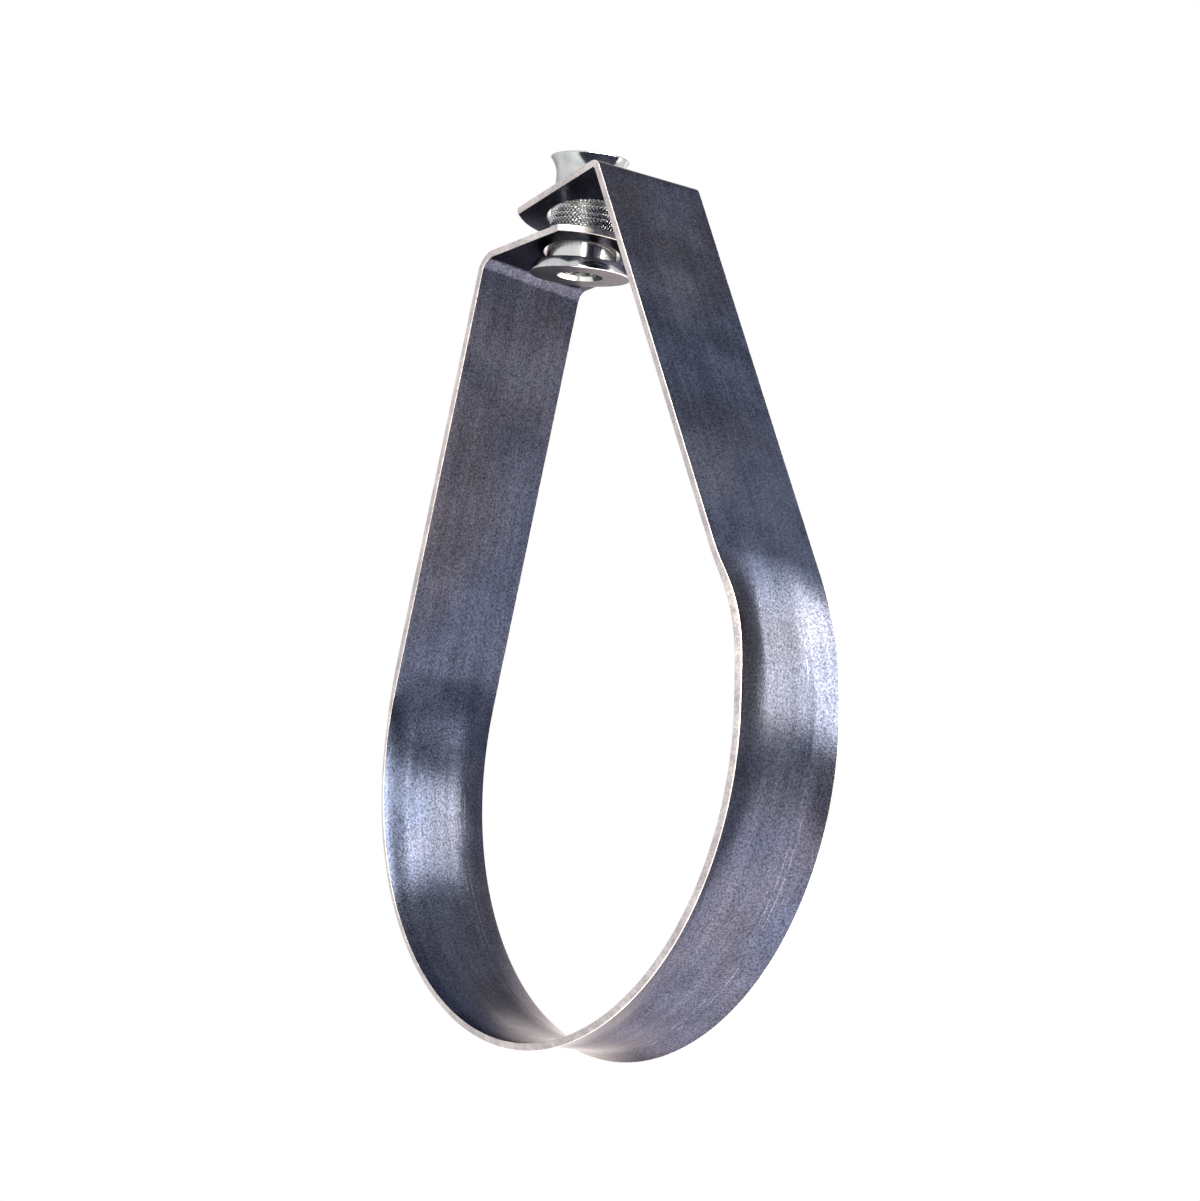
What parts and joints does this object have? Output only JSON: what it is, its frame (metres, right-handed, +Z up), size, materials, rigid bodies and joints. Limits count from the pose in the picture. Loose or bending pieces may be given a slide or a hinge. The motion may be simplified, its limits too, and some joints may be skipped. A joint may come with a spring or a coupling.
{
  "type": "swivel ring hanger",
  "caption": "Teardrop pipe hanger: a folded steel band with a flared ring saddle, and a knurled, flanged rod nut that swivels in the band's overlapping tabs.",
  "frame": {"origin": "centre of the ring, on the axis of the pipe that it holds", "axes": "+Z up towards the rod nut, Y along the pipe, +X towards the leg that carries the upper tab"},
  "size_m": [0.1227, 0.0266, 0.1891],
  "materials": {
    "galvanised_steel": "galvanised sheet, fine grain, satin",
    "bright_zinc": "bright zinc plating"
  },
  "bodies": {
    "rod_nut": {"swivel_nut": "bright_zinc"},
    "ring": {"ring_band": "galvanised_steel"}
  },
  "joints": [
    {"name": "ring_swivel", "type": "hinge", "parent": "rod_nut", "child": "ring", "pos_m": [-0.00303, 0, 0.11344], "axis": [0.1736, 0, 0.9848], "continuous": true}
  ]
}
